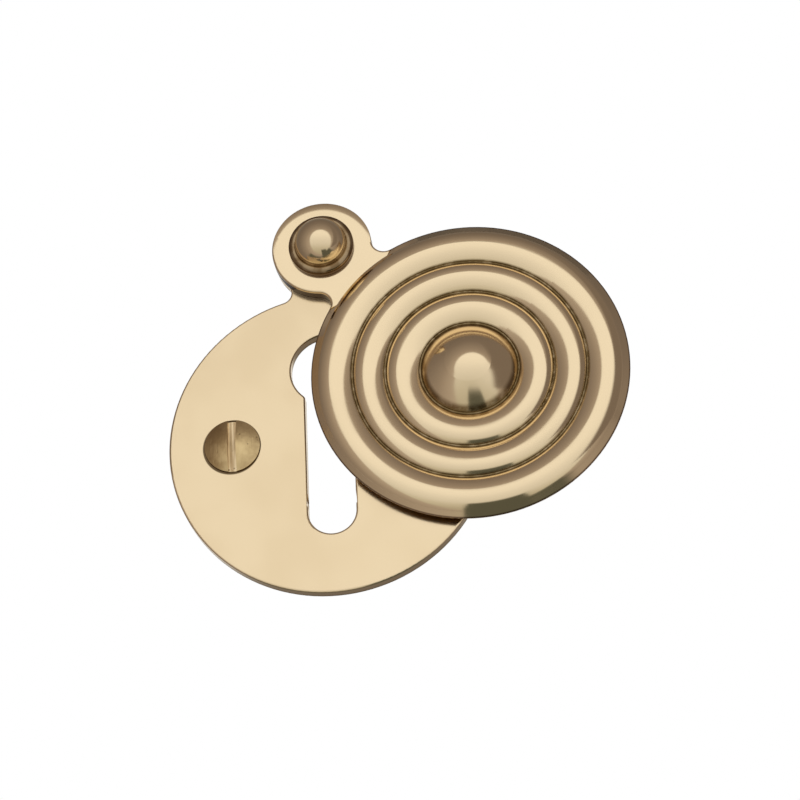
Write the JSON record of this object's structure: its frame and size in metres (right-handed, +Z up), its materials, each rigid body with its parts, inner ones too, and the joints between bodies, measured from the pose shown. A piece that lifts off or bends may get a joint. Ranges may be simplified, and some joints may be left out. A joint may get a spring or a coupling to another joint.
{
  "type": "keyhole escutcheon",
  "caption": "Round brass keyhole escutcheon with a reeded cover that swings aside on a riveted pivot, held by slotted countersunk screws.",
  "frame": {"origin": "centre of the backplate's disc, on its flat back face", "axes": "+Y square to the back face, into the door; +Z up, from the disc's centre to the pivot; +X to the right seen from the front"},
  "size_m": [0.0548, 0.0216, 0.0497],
  "materials": {
    "plate_brass": "satin",
    "cover_brass": "polished",
    "rivet_brass": "polished",
    "screw_brass": "worn satin"
  },
  "bodies": {
    "plate": {"backplate": "plate_brass", "pivot_rivet": "rivet_brass", "screw_left": "screw_brass", "screw_right": "screw_brass"},
    "cover": {"swing_cover": "cover_brass"}
  },
  "joints": [
    {"name": "cover_swing", "type": "hinge", "parent": "plate", "child": "cover", "pos_m": [0, -0.0022, 0.0246], "axis": [0, 1, 0], "continuous": true}
  ]
}
